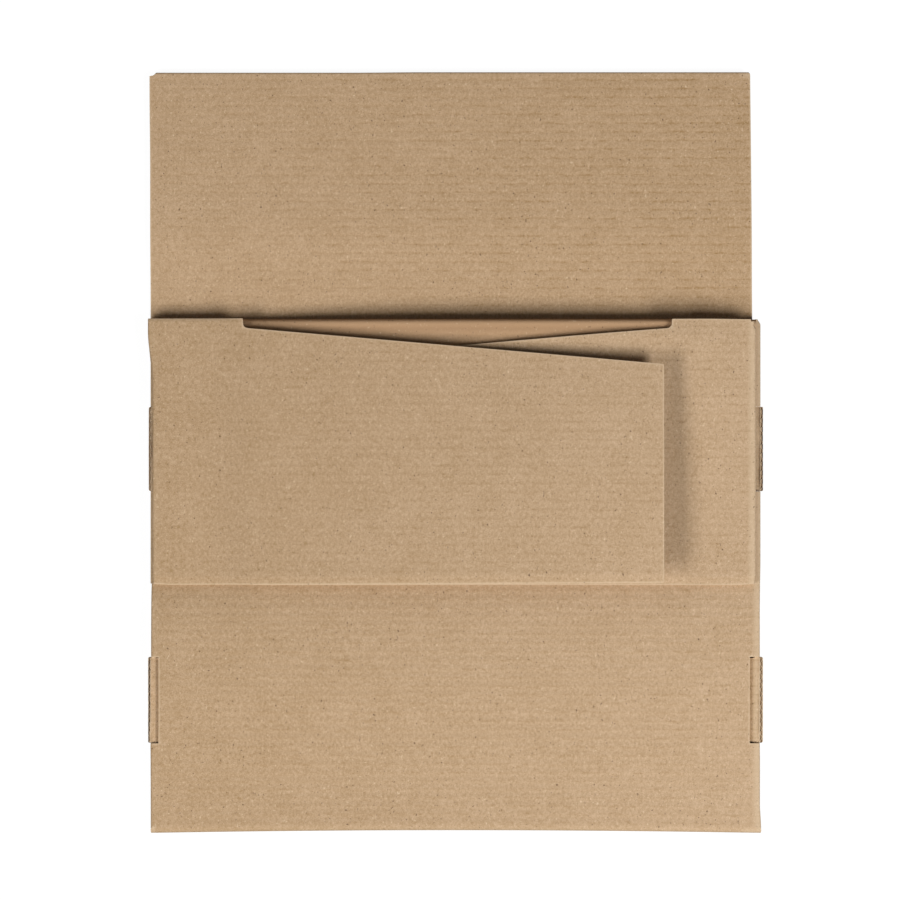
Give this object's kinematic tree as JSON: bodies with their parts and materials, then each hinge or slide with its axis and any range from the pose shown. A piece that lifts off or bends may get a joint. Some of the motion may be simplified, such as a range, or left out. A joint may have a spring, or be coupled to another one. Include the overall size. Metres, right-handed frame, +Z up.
{
  "type": "flattened mailer box",
  "caption": "Mailer box of fine corrugated kraft board, folded flat, with its lid spread out, walls folded in and long side flaps crossed over the front wall.",
  "frame": {"origin": "under the middle of the whole outline, in the plane the folded box lies on", "axes": "+X across the box toward the fixed flap's fold, +Y from the base's rear fold to the lid's front fold, +Z up, away from the surface it lies on"},
  "size_m": [0.234, 0.29, 0.0219],
  "materials": {
    "kraft_board": "matte"
  },
  "bodies": {
    "blank": {"folded_blank": "kraft_board"},
    "flap": {"side_flap": "kraft_board"}
  },
  "joints": [
    {"name": "side_flap_fold", "type": "hinge", "parent": "blank", "child": "flap", "pos_m": [-0.115, 0, 0.00692], "axis": [0, -1, 0], "range_deg": [0, 175]}
  ]
}
